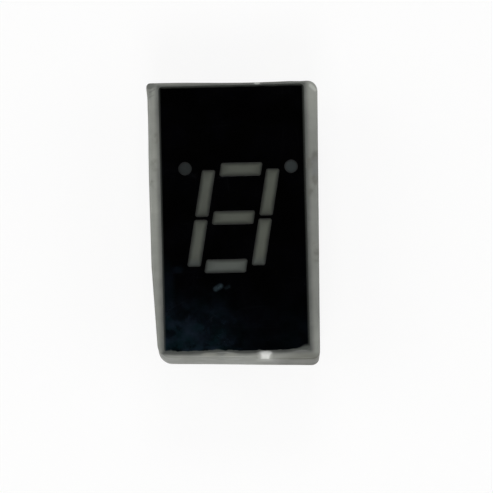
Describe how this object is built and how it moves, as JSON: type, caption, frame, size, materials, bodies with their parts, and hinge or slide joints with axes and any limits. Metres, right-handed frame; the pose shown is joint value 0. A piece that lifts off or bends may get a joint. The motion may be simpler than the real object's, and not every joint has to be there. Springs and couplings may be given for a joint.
{
  "type": "seven segment display",
  "caption": "Seven segment display: leaning digit bars and round points in a glossy black face, set in a milky cast resin body on rows of through-hole legs.",
  "frame": {"origin": "On the seating plane under the body, midway between the rows of legs.", "axes": "+X to the right and +Y up as the face is seen with its points above the digit, +Z out of the face. Turned half a turn about Z, the digit reads with its points at its foot."},
  "size_m": [0.0119, 0.0194, 0.0097],
  "materials": {
    "milky_resin": "milky grey cast epoxy, satin with faint casting marks",
    "black_plastic": "glossy black moulded plastic with a faint bluish haze and a small scuff",
    "bar_resin": "grey diffusing epoxy, flush with the black face",
    "point_resin": "darker, slightly blue diffusing epoxy, flush with the black face",
    "chip": "sawn semiconductor chip with a metal contact",
    "bond_wire": "fine gold wire",
    "lead": "tinned sheet, satin, with stamped edges"
  },
  "bodies": {
    "root": {"cast_body": "milky_resin", "reflector_block": "black_plastic", "segment_top": "bar_resin", "segment_upper_left": "bar_resin", "segment_upper_right": "bar_resin", "segment_middle": "bar_resin", "segment_lower_left": "bar_resin", "segment_lower_right": "bar_resin", "segment_bottom": "bar_resin", "light_point_left": "point_resin", "light_point_right": "point_resin", "chip_top": "chip", "chip_upper_left": "chip", "chip_upper_right": "chip", "chip_middle": "chip", "chip_lower_left": "chip", "chip_lower_right": "chip", "chip_bottom": "chip", "chip_point_left": "chip", "chip_point_right": "chip", "bond_wire_top": "bond_wire", "bond_wire_upper_left": "bond_wire", "bond_wire_upper_right": "bond_wire", "bond_wire_middle": "bond_wire", "bond_wire_lower_left": "bond_wire", "bond_wire_lower_right": "bond_wire", "bond_wire_bottom": "bond_wire", "bond_wire_point_left": "bond_wire", "bond_wire_point_right": "bond_wire", "lead_top": "lead", "lead_upper_left": "lead", "lead_upper_right": "lead", "lead_middle": "lead", "lead_lower_left": "lead", "lead_lower_right": "lead", "lead_bottom": "lead", "lead_point_left": "lead", "lead_point_right": "lead", "anode_frame": "lead"}
  },
  "joints": []
}
